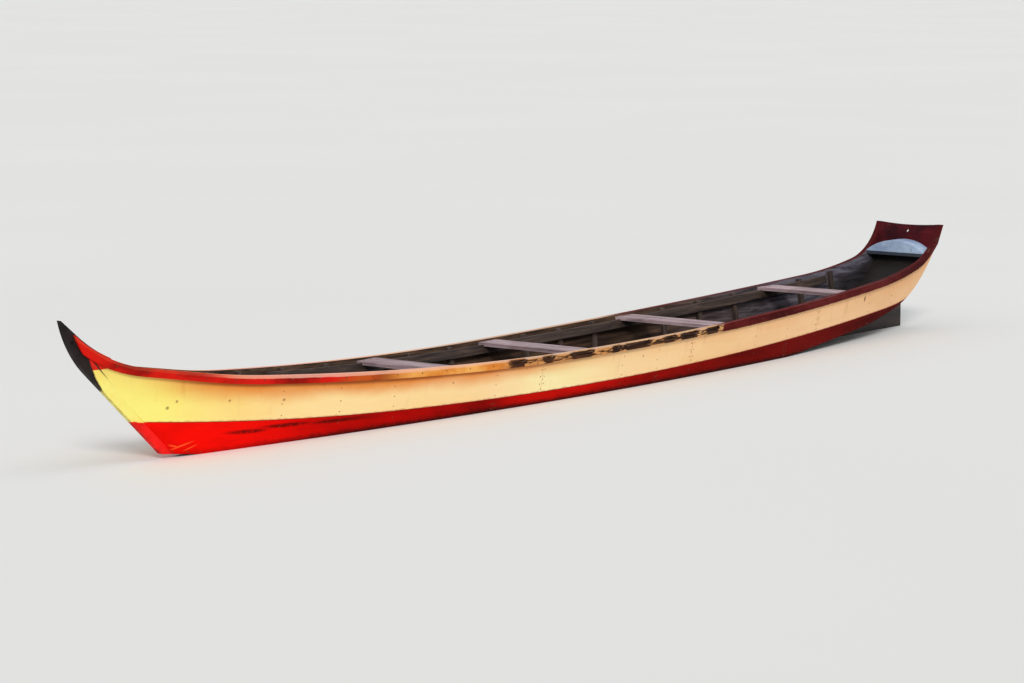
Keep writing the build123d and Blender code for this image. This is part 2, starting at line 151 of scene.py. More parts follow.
class Look:
    """One node material. Coordinates are metres in the boat's frame."""

    def __init__(self, name):
        self.material = bpy.data.materials.new(name)
        self.material.use_nodes = True
        self.tree = self.material.node_tree
        self.tree.nodes.clear()
        self.shader = self.node("ShaderNodeBsdfPrincipled")
        output = self.node("ShaderNodeOutputMaterial")
        self.join(self.shader.outputs[0], output.inputs[0])
        self.place = self.node("ShaderNodeTexCoord").outputs["Object"]
        split = self.node("ShaderNodeSeparateXYZ")
        self.join(self.place, split.inputs[0])
        self.x, self.y, self.z = split.outputs
        facing = self.node("ShaderNodeSeparateXYZ")
        self.join(self.node("ShaderNodeNewGeometry").outputs["Normal"], facing.inputs[0])
        self.nx, self.ny, self.nz = facing.outputs

    def node(self, kind, **settings):
        made = self.tree.nodes.new(kind)
        for key, value in settings.items():
            setattr(made, key, value)
        return made

    def join(self, source, socket):
        self.tree.links.new(source, socket)

    def feed(self, socket, value):
        if isinstance(value, bpy.types.NodeSocket):
            self.join(value, socket)
        else:
            socket.default_value = value

    # Numbers
    def maths(self, operation, a, b=0.0, c=0.0):
        made = self.node("ShaderNodeMath", operation=operation)
        for socket, value in zip(made.inputs, (a, b, c)):
            self.feed(socket, value)
        return made.outputs[0]

    def times(self, first, *others):
        for other in others:
            first = self.maths("MULTIPLY", first, other)
        return first

    def plus(self, a, b):
        return self.maths("ADD", a, b)

    def minus(self, a, b):
        return self.maths("SUBTRACT", a, b)

    def larger(self, a, b):
        return self.maths("MAXIMUM", a, b)

    def above(self, value, level):
        """1 where the value is above the level, and otherwise 0."""
        return self.maths("GREATER_THAN", value, level)

    def waver(self, noise, reach):
        """Noise as a wander of up to half of reach either way."""
        return self.maths("MULTIPLY_ADD", noise, reach, -reach / 2)

    def span(self, value, low, high, to_low=0.0, to_high=1.0):
        """Maps value from low..high to to_low..to_high, smoothly and clamped."""
        made = self.node("ShaderNodeMapRange", interpolation_type="SMOOTHSTEP")
        for socket, v in zip(made.inputs, (value, low, high, to_low, to_high)):
            self.feed(socket, v)
        return made.outputs[0]

    def noise(self, stretch, detail, roughness, seed, distortion=0.0):
        """Noise from 0 to 1, with features per metre along each axis."""
        shifted = self.node("ShaderNodeMapping")
        self.join(self.place, shifted.inputs[0])
        shifted.inputs["Location"].default_value = (seed, seed * 1.7, seed * 0.6)
        shifted.inputs["Scale"].default_value = stretch
        made = self.node("ShaderNodeTexNoise")
        self.join(shifted.outputs[0], made.inputs["Vector"])
        made.inputs["Scale"].default_value = 1.0
        made.inputs["Detail"].default_value = detail
        made.inputs["Roughness"].default_value = roughness
        made.inputs["Distortion"].default_value = distortion
        return made.outputs["Fac"]

    # Colours
    def mix(self, amount, a, b):
        """Colour a, going over to b as the amount goes from 0 to 1."""
        made = self.node("ShaderNodeMix", data_type="RGBA")
        self.feed(made.inputs[0], amount)
        self.feed(made.inputs[6], a)
        self.feed(made.inputs[7], b)
        return made.outputs[2]

    def ramp(self, value, *stops):
        """Colours by value, each stop a (place, colour)."""
        made = self.node("ShaderNodeValToRGB")
        self.feed(made.inputs[0], value)
        elements = made.color_ramp.elements
        while len(elements) < len(stops):
            elements.new(0.5)
        for element, (place, shade) in zip(elements, stops):
            element.position = place
            element.color = shade
        return made.outputs[0]

    # Places on the hull
    def along(self):
        """The station, as a share of ALONG."""
        return self.maths("MULTIPLY_ADD", self.x, -1 / ALONG, STEM_FOOT / ALONG)

    def track(self, value, low, high, points):
        """Reads points of (place, number) at a value between low and high, the numbers from 0 to 5."""
        most, last_knot = 5.0, 32
        curve = self.node("ShaderNodeFloatCurve")
        reach = high - low
        self.join(self.maths("MULTIPLY_ADD", value, 1 / reach, -low / reach), curve.inputs["Value"])
        line = curve.mapping.curves[0]
        while len(line.points) < last_knot + 1:
            line.points.new(0.5, 0.5)
        for i, knot in enumerate(line.points):
            share = i / last_knot
            knot.location = (share, read(points, low + reach * share) / most)
            knot.handle_type = "AUTO"
        curve.mapping.update()
        return self.times(curve.outputs[0], most)

    def under(self, line):
        """How far a point is below one of the hull's long curves, in metres."""
        return self.minus(self.track(self.x, -5, 5, LINES[line]), self.z)

    def behind_stem(self):
        """How far a point is level aft of the stem's front edge, in metres."""
        return self.minus(self.track(self.z, 0.0, 1.2, STEM_EDGE), self.x)

    def port(self):
        return self.above(self.y, 0.0)

    def outside(self):
        """1 on the hull's outer faces and on the planks' ends against the stem."""
        outward = self.span(self.times(self.ny, self.maths("SIGN", self.y)), 0.05, 0.25)
        ends = self.times(self.span(self.nx, 0.2, 0.4), self.span(self.x, 3.0, 3.1))
        return self.larger(outward, ends)

    def beside(self, rows):
        """1 along each stretch of stations: (centre, length, depth)."""
        total = 0.0
        for centre, length, _ in rows:
            gap = self.maths("ABSOLUTE", self.minus(self.x, STEM_FOOT - centre))
            total = self.larger(total, self.span(gap, length / 2 + 0.07, length / 2 - 0.05))
        return total

    def marks(self, *rows):
        """1 inside each soft-edged mark: (x, z, half length, half height, slope)."""
        total = 0.0
        for x, z, long, high, slope in rows:
            dx = self.maths("MULTIPLY_ADD", self.x, 1 / long, -x / long)
            rise = self.maths("MULTIPLY_ADD", self.z, 1 / high, -z / high)
            dz = self.maths("MULTIPLY_ADD", dx, -slope * long / high, rise)
            gap = self.maths("SQRT", self.plus(self.times(dx, dx), self.times(dz, dz)))
            total = self.larger(total, self.span(gap, 1.4, 0.4))
        return total

    # The shader
    def bump(self, *layers):
        """Stacks bumps, each (height field, depth in metres)."""
        normal = None
        for field, depth in layers:
            made = self.node("ShaderNodeBump")
            made.inputs["Strength"].default_value = 1.0
            made.inputs["Distance"].default_value = depth
            self.join(field, made.inputs["Height"])
            if normal is not None:
                self.join(normal, made.inputs["Normal"])
            normal = made.outputs[0]
        self.join(normal, self.shader.inputs["Normal"])

    def finish(self, shade, rough, specular=0.35):
        self.feed(self.shader.inputs["Base Color"], shade)
        self.feed(self.shader.inputs["Roughness"], rough)
        self.shader.inputs["Specular IOR Level"].default_value = specular
        return self.material


# Noise stretches of wood by the way its grain runs, for its bands and for its finest lines
GRAINS = {"long": (1.6, 34, 34), "athwart": (34, 1.8, 34), "upright": (34, 34, 2.2)}
FINE = {"long": (5, 150, 150), "athwart": (150, 6, 150), "upright": (150, 150, 7)}


def wood(look, grain, pale, mid, dark, seed):
    """Weathered bare wood: its colour, its grain's bands and its finest lines."""
    bands = look.noise(GRAINS[grain], 5, 0.6, seed, 0.4)
    fine = look.noise(FINE[grain], 3, 0.6, seed + 3)
    blotch = look.noise((1.3, 3.1, 3.1), 4, 0.6, seed + 7)
    shade = look.ramp(bands, (0.3, dark), (0.5, mid), (0.72, pale))
    shade = look.mix(look.span(blotch, 0.5, 0.72, 0, 0.55), shade, dark)
    checks = look.span(fine, 0.36, 0.28)
    shade = look.mix(look.times(checks, 0.55), shade, colour(22, 16, 13))
    return shade, bands, fine


def inside_wood(look, seed):
    """The planks' inner faces: brown forward, greyer aft, darker towards the bottom, near black as painted
    shade under the stern deck, and dark red over the deck.
    """
    along, below = look.along(), look.under("sheer")
    fore, bands, fine = wood(look, "long", colour(116, 90, 70), colour(76, 57, 45), colour(34, 24, 20), seed)
    aft = look.mix(look.span(bands, 0.3, 0.7), colour(52, 48, 58), colour(124, 124, 142))
    shade = look.mix(look.span(along, 0.55, 0.82, 0, 0.75), fore, aft)
    # darker towards the bottom
    low = look.span(below, 0.10, 0.36, 0, 0.72)
    # painted shade: near black under the stern deck
    shade_under_deck = look.times(look.span(along, 0.78, 0.83), look.span(below, 0.05, 0.12, 0, 0.85))
    shade = look.mix(look.larger(low, shade_under_deck), shade, colour(20, 15, 15))
    over_deck = look.times(look.span(along, 0.846, 0.852), look.span(look.z, 0.70, 0.71))
    return look.mix(over_deck, shade, colour(72, 12, 18)), bands, fine


def top_paint_and_highlight(look):
    """Paint on the upward edges of rail and strake, by distance from the bow: pale pink forward, part worn
    paint and part painted highlight, and dark red aft.
    """
    return look.ramp(look.along(), (0.0, colour(255, 168, 120)), (0.10, colour(250, 182, 162)),
                     (0.26, colour(246, 192, 158)), (0.32, colour(222, 184, 156)),
                     (0.52, colour(214, 170, 140)), (0.545, colour(98, 18, 18)),
                     (0.88, colour(72, 14, 16)))


def bow_corner(look, wobble):
    """1 above the level line at the bow over which the paint is red."""
    return look.span(look.plus(look.z, wobble), *CORNER_EDGE)


def patchy_roughness(look, patch, low, high):
    return look.span(patch, 0.3, 0.7, low, high)


def side_roughness(look, outside, broad, smooth):
    """Bare wood's inside, and outside the paint's, from smooth to worn."""
    return look.mix(outside, grey(0.85), look.ramp(broad, (0.3, grey(smooth)), (0.7, grey(0.66))))


def side_bump(look, broad, bands, chip, fine):
    look.bump((broad, 0.004), (bands, 0.0012), (chip, 0.0008), (fine, 0.0005))


def fibres(look):
    """Long thin splinters, from 0 to 1."""
    return look.noise((7, 75, 75), 4, 0.62, 37, 0.8)


def upper_look():
    """Cream outside, with orange staining and painted shade under the rail, the bow's red corner, a few worn
    marks, and on the top edge pale paint with a painted highlight.
    """
    look = Look("cream_paint")
    bare, bands, fine = inside_wood(look, 1.0)
    outside, port, along = look.outside(), look.port(), look.along()
    below = look.under("sheer")
    over_seam = look.times(look.under("seam"), -1.0)
    broad = look.noise((0.7, 2.2, 2.2), 4, 0.6, 12)
    streak = look.noise((15, 15, 0.9), 4, 0.6, 14, 0.3)
    speck = look.noise((26, 40, 40), 4, 0.65, 18)
    chip = look.noise((7, 16, 16), 6, 0.68, 20, 0.6)

    fresh = look.ramp(along, (0.0, colour(252, 244, 132)), (0.04, colour(254, 236, 148)),
                      (0.09, colour(255, 227, 160)), (0.28, colour(254, 222, 168)),
                      (0.34, colour(253, 240, 180)), (0.43, colour(253, 218, 164)),
                      (0.62, colour(250, 208, 158)), (0.88, colour(240, 192, 144)))
    aged = look.ramp(along, (0.0, colour(252, 224, 112)), (0.06, colour(250, 208, 118)),
                     (0.35, colour(247, 206, 132)), (0.60, colour(236, 184, 126)),
                     (0.88, colour(214, 162, 114)))
    shade = look.mix(look.span(broad, 0.42, 0.78, 0, 0.55), fresh, aged)
    shade = look.mix(look.times(look.span(bands, 0.55, 0.3), 0.15), shade, aged)
    runs = look.times(look.span(streak, 0.55, 0.76), look.span(below, 0.30, 0.05, 0.08, 0.6))
    shade = look.mix(look.times(runs, 0.5), shade, colour(168, 96, 44))

    # orange staining under the rail, part painted shade, strongest forward of the broken length, and close
    # under the rail a painted shadow of dark brown
    wander = look.waver(look.noise((2.4, 5, 5), 3, 0.5, 24), 0.09)
    foot_of_stain_and_shade = look.span(along, 0.02, 0.2, 0.23, 0.175)
    stain_and_shade = look.span(look.plus(below, wander), foot_of_stain_and_shade, 0.06)
    reach = look.times(look.span(along, 0.46, 0.24, 0.16, 0.9), look.span(along, -0.04, 0.05, 0.15, 1.0))
    shade = look.mix(look.times(stain_and_shade, reach), shade, colour(228, 128, 36))
    # painted shadow: dark brown right under the rail
    shadow_under_rail = look.span(look.plus(below, look.times(wander, 0.3)), 0.088, 0.056)
    shade = look.mix(look.times(shadow_under_rail, look.times(reach, 0.75)), shade, colour(140, 62, 20))

    # red over a level line at the bow, and under the aft rail a dark red hem, part paint and part painted
    # shadow
    wobble = look.waver(speck, 0.012)
    corner = look.times(bow_corner(look, wobble), look.span(look.x, 4.0, 4.1))
    red = look.mix(look.span(broad, 0.4, 0.7), colour(242, 46, 20), colour(200, 26, 12))
    shade = look.mix(corner, shade, red)
    hem = look.times(look.span(look.plus(below, wobble), 0.068, 0.062), look.span(along, 0.535, 0.55))
    shade = look.mix(hem, shade, colour(74, 14, 12))

    # bare dark wood behind the broken rail, under a pale upper hem
    fore, aft = (station / ALONG for station in RAIL_JOINTS)
    bay = look.times(look.span(along, fore - 0.002, fore + 0.002), look.span(along, aft + 0.002, aft - 0.002))
    behind = look.times(look.span(below, 0.058, 0.053), look.span(look.plus(below, wobble), 0.005, 0.009))
    torn = look.span(look.plus(look.beside(RAIL_SPLITS), look.waver(fibres(look), 0.9)), 0.24, 0.36)
    dark_wood = look.mix(look.span(bands, 0.35, 0.65), colour(30, 18, 14), colour(76, 46, 30))
    shade = look.mix(look.times(bay, behind, port, torn), shade, dark_wood)

    # worn spots, a knot and chips
    worn = look.marks((4.008, 0.412, 0.013, 0.011, 0), (3.942, 0.447, 0.010, 0.009, 0),
                      (3.535, 0.411, 0.010, 0.008, 0), (3.097, 0.372, 0.012, 0.009, 0),
                      (1.60, 0.33, 0.008, 0.007, 0), (-0.43, 0.31, 0.008, 0.008, 0))
    shade = look.mix(look.times(worn, port, 0.75), shade, colour(140, 92, 44))
    knot = look.marks((-3.583, 0.433, 0.012, 0.022, 0))
    shade = look.mix(look.times(knot, port), shade, colour(96, 62, 40))
    chipped = look.above(chip, look.span(below, 0.3, 0.02, 0.735, 0.68))
    shade = look.mix(look.times(chipped, 0.8), shade, bare)
    foot = look.plus(over_seam, look.waver(speck, 0.03))
    shade = look.mix(look.span(foot, 0.012, 0.0, 0, 0.6), shade, colour(196, 96, 60))

    shade = look.mix(outside, bare, shade)
    # faces that look up at the strake's top take the pale top paint with its painted highlight
    upward = look.times(look.span(look.nz, 0.55, 0.8), look.span(below, 0.012, 0.006))
    shade = look.mix(upward, shade, top_paint_and_highlight(look))
    side_bump(look, broad, bands, chip, fine)
    return look.finish(shade, side_roughness(look, outside, broad, 0.45), 0.14)


def lower_look():
    """Red outside, with painted light along it, bright at the bow and darker aft, scuffed, and dark where the
    water wets it.
    """
    look = Look("red_paint")
    bare, bands, fine = inside_wood(look, 5.0)
    outside, port, along = look.outside(), look.port(), look.along()
    over_water = look.minus(look.z, WATERLINE)
    broad = look.noise((0.9, 3.2, 3.2), 4, 0.6, 16)
    speck = look.noise((26, 40, 40), 4, 0.65, 22)
    chip = look.noise((7, 16, 16), 6, 0.68, 24, 0.6)

    # both ramps paint light along the hull: bright red where the light falls full on the bow, darker aft
    # where the side turns from it; their mix by noise is patchy paint
    fresh = look.ramp(along, (0.0, colour(250, 14, 5)), (0.06, colour(244, 12, 5)),
                      (0.12, colour(208, 10, 5)), (0.20, colour(170, 8, 4)),
                      (0.27, colour(168, 10, 5)), (0.35, colour(206, 13, 5)),
                      (0.45, colour(170, 11, 5)), (0.55, colour(124, 9, 5)),
                      (0.74, colour(96, 9, 5)), (0.88, colour(54, 10, 7)))
    aged = look.ramp(along, (0.0, colour(214, 10, 4)), (0.10, colour(180, 10, 5)),
                     (0.22, colour(104, 6, 5)), (0.45, colour(116, 8, 6)),
                     (0.6, colour(74, 8, 5)), (0.88, colour(34, 9, 7)))
    shade = look.mix(look.span(broad, 0.42, 0.66, 0, 0.8), fresh, aged)
    shade = look.mix(look.times(look.span(bands, 0.55, 0.3), 0.2), shade, aged)

    # scuffs on the port bow: dull smears and bright scratches
    smears = look.marks((3.37, 0.195, 0.16, 0.015, 0.04), (3.05, 0.203, 0.20, 0.014, 0.03),
                        (2.62, 0.187, 0.24, 0.014, 0.02))
    rub = look.times(smears, port, look.span(speck, 0.3, 0.55, 0.35, 0.9))
    shade = look.mix(rub, shade, colour(84, 10, 6))
    scratches = look.marks((3.87, 0.158, 0.085, 0.006, -0.22), (3.93, 0.163, 0.04, 0.005, 0.25),
                           (3.80, 0.138, 0.05, 0.004, -0.3))
    shade = look.mix(look.times(scratches, port, 0.8), shade, colour(255, 96, 44))

    chipped = look.above(chip, 0.73)
    shade = look.mix(look.times(chipped, 0.8), shade, bare)
    damp = look.span(look.plus(over_water, look.waver(speck, 0.04)), 0.045, 0.004)
    dull = look.span(along, 0.02, 0.16, 0.35, 0.9)
    shade = look.mix(look.times(damp, dull), shade, colour(40, 14, 11))
    shade = look.mix(outside, bare, shade)
    side_bump(look, broad, bands, chip, fine)
    return look.finish(shade, side_roughness(look, outside, broad, 0.46), 0.02)


def rail_look():
    """Red at the bow, rubbed to orange and cream, bare and dark amidships, dark red aft, pale on top, partly
    as painted highlight.
    """
    look = Look("rail_paint")
    along, below = look.along(), look.under("sheer")
    bare, bands, fine = wood(look, "long", colour(140, 104, 76), colour(84, 58, 42), colour(34, 22, 17), 31)
    chip = look.noise((5, 18, 18), 6, 0.7, 33, 0.5)
    patch = look.noise((2.2, 6, 6), 4, 0.6, 35)

    # the broken length: paint with dark lines between its fibres, and dark wood where it is gone
    splinters = fibres(look)
    gone = look.mix(look.span(bands, 0.3, 0.7), colour(30, 19, 15), colour(84, 52, 34))
    left = look.mix(look.span(patch, 0.4, 0.6), colour(236, 178, 116), colour(206, 142, 84))
    face = look.times(look.span(below, 0.008, 0.016), look.span(below, 0.056, 0.044))
    lines = look.plus(splinters, look.span(along, 0.36, 0.5, 0, 0.07))
    left = look.mix(look.times(look.span(lines, 0.47, 0.54), face), left, gone)
    torn = look.plus(look.waver(splinters, 1.5), look.span(below, 0.052, 0.02, -0.25, 0.1))
    broken = look.mix(look.span(look.plus(look.beside(RAIL_SPLITS), torn), 0.44, 0.56), left, gone)

    # the five stretches from bow to stern
    redden = look.mix(look.span(patch, 0.35, 0.65), colour(214, 24, 12), colour(140, 16, 8))
    brown = look.mix(look.span(patch, 0.35, 0.65), colour(196, 84, 26), colour(132, 52, 20))
    creamy = look.mix(look.span(patch, 0.38, 0.62), colour(244, 178, 92), colour(220, 132, 52))
    dark = look.mix(look.span(patch, 0.35, 0.7), colour(96, 14, 13), colour(62, 9, 11))
    ragged = look.plus(along, look.waver(patch, 0.04))
    shade = look.mix(look.span(ragged, 0.12, 0.15), redden, brown)
    shade = look.mix(look.span(ragged, 0.165, 0.20), shade, creamy)
    shade = look.mix(look.span(ragged, 0.285, 0.30), shade, broken)
    last_joint = RAIL_JOINTS[1] / ALONG
    shade = look.mix(look.span(along, last_joint - 0.001, last_joint + 0.001), shade, dark)

    # the pale top, part paint and part painted highlight, which comes down over the edge as a lip
    edge = look.maths("MULTIPLY_ADD", chip, 0.014, look.minus(below, 0.007))
    lip = look.span(look.minus(edge, look.span(along, 0.16, 0.33, 0.019, 0.007)), 0.003, -0.003)
    lip = look.times(lip, look.span(along, 0.02, 0.06, 0.1, 1))
    upward = look.times(look.span(look.nz, 0.45, 0.75), look.span(below, 0.016, 0.008))
    shade = look.mix(look.larger(upward, look.times(lip, 0.7)), shade, top_paint_and_highlight(look))
    worn = look.above(chip, look.span(look.nz, 0.1, 0.8, 0.69, 0.64))
    shade = look.mix(look.times(worn, 0.75), shade, bare)
    look.bump((patch, 0.003), (bands, 0.0015), (chip, 0.001), (fine, 0.0006))
    return look.finish(shade, patchy_roughness(look, patch, 0.5, 0.8), 0.07)


def painted_board(name, main, second, seed, wear, shade_below=None):
    """A painted board across the boat, rubbed to bare wood in places, and near black below a height as
    painted shade.
    """
    look = Look(name)
    bare, bands, fine = wood(look, "athwart", colour(122, 98, 82), colour(82, 62, 52), colour(40, 28, 24),
                             seed)
    patch = look.noise((4, 4, 4), 4, 0.6, seed + 2)
    chip = look.noise((14, 14, 14), 6, 0.7, seed + 4, 0.5)
    shade = look.mix(look.span(patch, 0.38, 0.68), main, second)
    shade = look.mix(look.times(look.span(bands, 0.55, 0.3), 0.3), shade, second)
    shade = look.mix(look.above(chip, wear), shade, bare)
    if shade_below:
        # painted shade: near black below the given height
        under = look.span(look.z, shade_below - 0.002, shade_below + 0.002, 0.9, 0)
        shade = look.mix(under, shade, colour(26, 20, 20))
    look.bump((patch, 0.002), (bands, 0.0012), (chip, 0.0007), (fine, 0.0005))
    return look.finish(shade, patchy_roughness(look, patch, 0.5, 0.78), 0.1)


def bare_board(name, grain, shades, seed, darkening=0.0, dull=0.8):
    """Bare weathered wood of three shades, pale to dark; with darkening, it is darker towards the bottom and
    near black aft as painted shade under the stern deck.
    """
    look = Look(name)
    shade, bands, fine = wood(look, grain, *(colour(*shade) for shade in shades), seed)
    patch = look.noise((2, 5, 5), 4, 0.6, seed + 5)
    if darkening:
        # darker towards the bottom
        shade = look.mix(look.span(look.under("sheer"), 0.08, 0.36, 0, darkening), shade, colour(22, 17, 15))
        # painted shade: near black aft, under the stern deck
        shade = look.mix(look.span(look.along(), 0.77, 0.84, 0, 0.8), shade, colour(14, 11, 11))
    look.bump((patch, 0.002), (bands, 0.0016), (fine, 0.0007))
    return look.finish(shade, patchy_roughness(look, patch, dull - 0.2, dull))


def stem_look():
    """Black head, narrowing down the front edge, over the side's cream and red."""
    look = Look("stem_wood")
    bare, bands, fine = wood(look, "upright", colour(70, 54, 44), colour(42, 32, 27), colour(20, 15, 13), 51)
    behind = look.behind_stem()
    patch = look.noise((7, 7, 7), 4, 0.6, 53)
    chip = look.noise((22, 22, 22), 6, 0.7, 55, 0.5)
    wobble = look.waver(look.noise((24, 24, 24), 3, 0.5, 57), 0.02)
    patchy = look.span(patch, 0.4, 0.65)
    black = look.mix(patchy, colour(30, 19, 16), colour(15, 11, 11))
    cream = look.mix(patchy, colour(252, 241, 130), colour(252, 228, 114))
    low = look.mix(patchy, colour(250, 14, 5), colour(222, 12, 5))
    red = look.mix(patch, colour(242, 40, 18), colour(196, 24, 12))
    shade = look.mix(look.span(look.plus(look.under("seam"), wobble), 0.004, -0.004), low, cream)
    shade = look.mix(bow_corner(look, wobble), shade, red)
    width = look.span(look.z, 0.525, 0.855, -0.004, 0.125)
    head = look.span(look.minus(look.plus(behind, wobble), width), 0.008, -0.008)
    head = look.larger(head, look.span(look.z, 0.815, 0.855))
    shade = look.mix(head, shade, black)
    shade = look.mix(look.above(chip, 0.69), shade, bare)
    inboard = look.times(look.span(behind, 0.11, 0.13), look.span(look.under("sheer"), -0.02, 0.0))
    shade = look.mix(inboard, shade, bare)
    look.bump((patch, 0.002), (bands, 0.0014), (chip, 0.0008), (fine, 0.0006))
    return look.finish(shade, patchy_roughness(look, patch, 0.5, 0.75), 0.2)


def iron_look(name, *levels):
    """Rust in three levels, dark to bright."""
    look = Look(name)
    patch = look.noise((90, 90, 90), 4, 0.65, 71)
    rusts = [colour(level, level * 0.62, level * 0.4) for level in levels]
    shade = look.ramp(patch, *zip((0.35, 0.52, 0.7), rusts))
    look.bump((patch, 0.0006))
    return look.finish(shade, patchy_roughness(look, patch, 0.55, 0.9))


def caulk_look(name, first, second):
    """Putty in a seam, painted over with the side."""
    look = Look(name)
    patch = look.noise((30, 30, 30), 4, 0.6, 81)
    shade = look.mix(look.span(patch, 0.35, 0.65), first, second)
    look.bump((patch, 0.0012))
    return look.finish(shade, patchy_roughness(look, patch, 0.5, 0.75), 0.2)


# By the start of a node's name, the longer names before the shorter
LOOKS = {
    "upper_strake": upper_look(),
    "lower_strake": lower_look(),
    "rub_rail": rail_look(),
    "bottom_strake": bare_board("bottom_wood", "long", ((66, 52, 45), (44, 34, 30), (23, 18, 16)), 41,
                                0.4, 0.7),
    "stem_post": stem_look(),
    "skeg": bare_board("skeg_wood", "long", ((64, 42, 34), (40, 26, 22), (20, 14, 12)), 61, 0.0, 0.7),
    "transom": painted_board("transom_paint", colour(78, 12, 20), colour(44, 9, 16), 65, 0.66),
    # the stern deck's pale grey-blue is paint, lightened and blued by a painted reflection of the sky
    "stern_deck": painted_board("deck_paint", colour(178, 198, 224), colour(136, 154, 184), 67, 0.66,
                                DECK_EDGE),
    "thwart_riser": bare_board("riser_wood", "long", ((98, 78, 68), (66, 51, 45), (32, 24, 22)), 45, 0.5),
    # the thwarts' pale lilac is grey weathered wood with a painted reflection of the sky
    "thwart": bare_board("thwart_wood", "athwart", ((206, 182, 186), (166, 142, 148), (98, 78, 80)), 43),
    "breasthook": painted_board("breasthook_paint", colour(176, 52, 22), colour(120, 44, 24), 47, 0.6),
    "ribs": bare_board("rib_wood", "upright", ((104, 84, 74), (70, 55, 49), (35, 27, 25)), 49, 0.6),
    "floor_timbers": bare_board("timber_wood", "athwart", ((80, 63, 54), (53, 41, 36), (27, 21, 19)), 48,
                                0.6),
}

for name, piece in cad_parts.items():
    for start, look in LOOKS.items():
        if name.startswith(start):
            piece.data.materials.clear()
            piece.data.materials.append(look)
            break


# Nails, caulking and splinters
IRON, PAINTED_IRON = iron_look("rusty_iron", 34, 84, 128), iron_look("painted_iron", 92, 150, 196)
SEAM_CAULK = caulk_look("seam_caulk", colour(150, 40, 22), colour(98, 20, 13))
UPPER_CAULK = caulk_look("upper_caulk", colour(232, 190, 126), colour(196, 146, 90))
LOWER_CAULK = caulk_look("lower_caulk", colour(110, 16, 10), colour(66, 12, 9))
SPLINTER = bare_board("splintered_wood", "long", ((188, 150, 110), (108, 74, 52), (34, 22, 17)), 91)

BOTTOM_ENDS, BOTTOM_NAIL_GAP = (-4.35, 3.93), 0.11      # x of the ends of a row, and the gap along it
RAIL_ENDS, RAIL_NAIL_GAP = (-4.66, 4.43), 0.23
SEAM_ENDS, SEAM_STEP = (-4.29, 4.14), 0.035
BUTT_STEP = 0.02
RAIL_NAIL_DROP, BROKEN_NAIL_DROP = 0.028, 0.046
NAIL_CLEARANCE = 0.020      # under the rail
LEAST_STRAKE = 0.06         # a lower strake shallower than this has no nails on its frames
FRAME_JITTER, BOTTOM_JITTER, RISE_JITTER = 0.009, 0.01, 0.006
NAIL_CORNERS = 8
NAIL_RINGS = ((1.0, -0.3), (1.0, 0.45), (0.62, 0.95))                       # shares of (radius, rise)
BEAD_PROFILE = ((-1, -0.4), (-0.7, 0.6), (0, 1), (0.7, 0.6), (1, -0.4))     # shares of (half width, rise)
UPPER_SHARES, LOWER_SHARES = (0.14, 0.5, 0.86), (0.2, 0.78)    # of the way up a strake, on a frame
BUTT_SHARES = (0.22, 0.42, 0.62, 0.8)                          # and beside a butt
BUTT_NAIL_OFFSET, BUTT_MARGIN = 0.02, 0.002
BOTTOM_NAIL_RISE = 0.013
THWART_NAIL_INSET, THWART_NAIL_GAP = 0.012, 0.07
SHARDS_AT_AN_END = 4
SHARD_LENGTH, SHARD_SHARE = (0.02, 0.07), 0.38                 # and the most as a share of its split
SHARD_THICK, SHARD_TALL, SHARD_INSET = (0.0025, 0.005), (0.004, 0.008), (0.003, 0.016)
SHARD_TAPER = ((0.0, 1.0), (0.45, 0.75), (1.0, 0.0))           # (share of the length, size)
dice = random.Random(7)


def jitter(reach):
    return dice.uniform(-reach, reach)


def new_object(name, corners, faces, look, smooth=False):
    mesh = bpy.data.meshes.new(name)
    mesh.from_pydata([tuple(c) for c in corners], [], faces)
    mesh.materials.append(look)
    mesh.update()
    for face in mesh.polygons:
        face.use_smooth = smooth
    made = bpy.data.objects.new(name, mesh)
    bpy.context.scene.collection.objects.link(made)
    return made


def add_piece(name, corners, faces, look, smooth=True):
    piece = new_object(name, corners, faces, look, smooth)
    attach(piece, "root")


def across_of(direction):
    """Two directions square to this one and to each other."""
    side = direction.cross(Vector((0.3, 0.1, 1))).normalized()
    return side, direction.cross(side).normalized()


def nail_heads(name, places, radius, rise, look):
    """Hammered round heads, each slightly domed, off round and sunk a little in the wood."""
    corners, faces = [], []
    for here, out in places:
        a, b = across_of(out)
        size = radius * dice.uniform(0.85, 1.15)
        lean = (a * jitter(0.12) + b * jitter(0.12) + out).normalized()
        first = len(corners)
        for share, lift in NAIL_RINGS:
            for k in range(NAIL_CORNERS):
                turn = 2 * math.pi * k / NAIL_CORNERS + 0.2
                across = a * math.cos(turn) + b * math.sin(turn)
                wobble = 1 + jitter(0.06)
                corners.append(here + across * size * share * wobble + lean * rise * lift)
        top = len(corners)
        corners.append(here + lean * rise)
        for k in range(NAIL_CORNERS):
            n = (k + 1) % NAIL_CORNERS
            for i in (first, first + NAIL_CORNERS):
                faces.append((i + k, i + n, i + NAIL_CORNERS + n, i + NAIL_CORNERS + k))
            faces.append((top - NAIL_CORNERS + k, top - NAIL_CORNERS + n, top))
    add_piece(name, corners, faces, look)


def bead(name, runs, width, rise, look):
    """Rounded beads along runs of (point, outward direction)."""
    row = len(BEAD_PROFILE)
    corners, faces = [], []
    for run in runs:
        first = len(corners)
        for i, (here, out) in enumerate(run):
            ahead = run[min(i + 1, len(run) - 1)][0] - run[max(i - 1, 0)][0]
            side = out.cross(ahead).normalized()
            half = width / 2 * dice.uniform(0.75, 1.25)
            lift = rise * dice.uniform(0.6, 1.2)
            for share, up in BEAD_PROFILE:
                corners.append(here + side * half * share + out * lift * up)
        for i in range(len(run) - 1):
            for k in range(row - 1):
                a = first + i * row + k
                faces.append((a, a + 1, a + row + 1, a + row))
    add_piece(name, corners, faces, look)


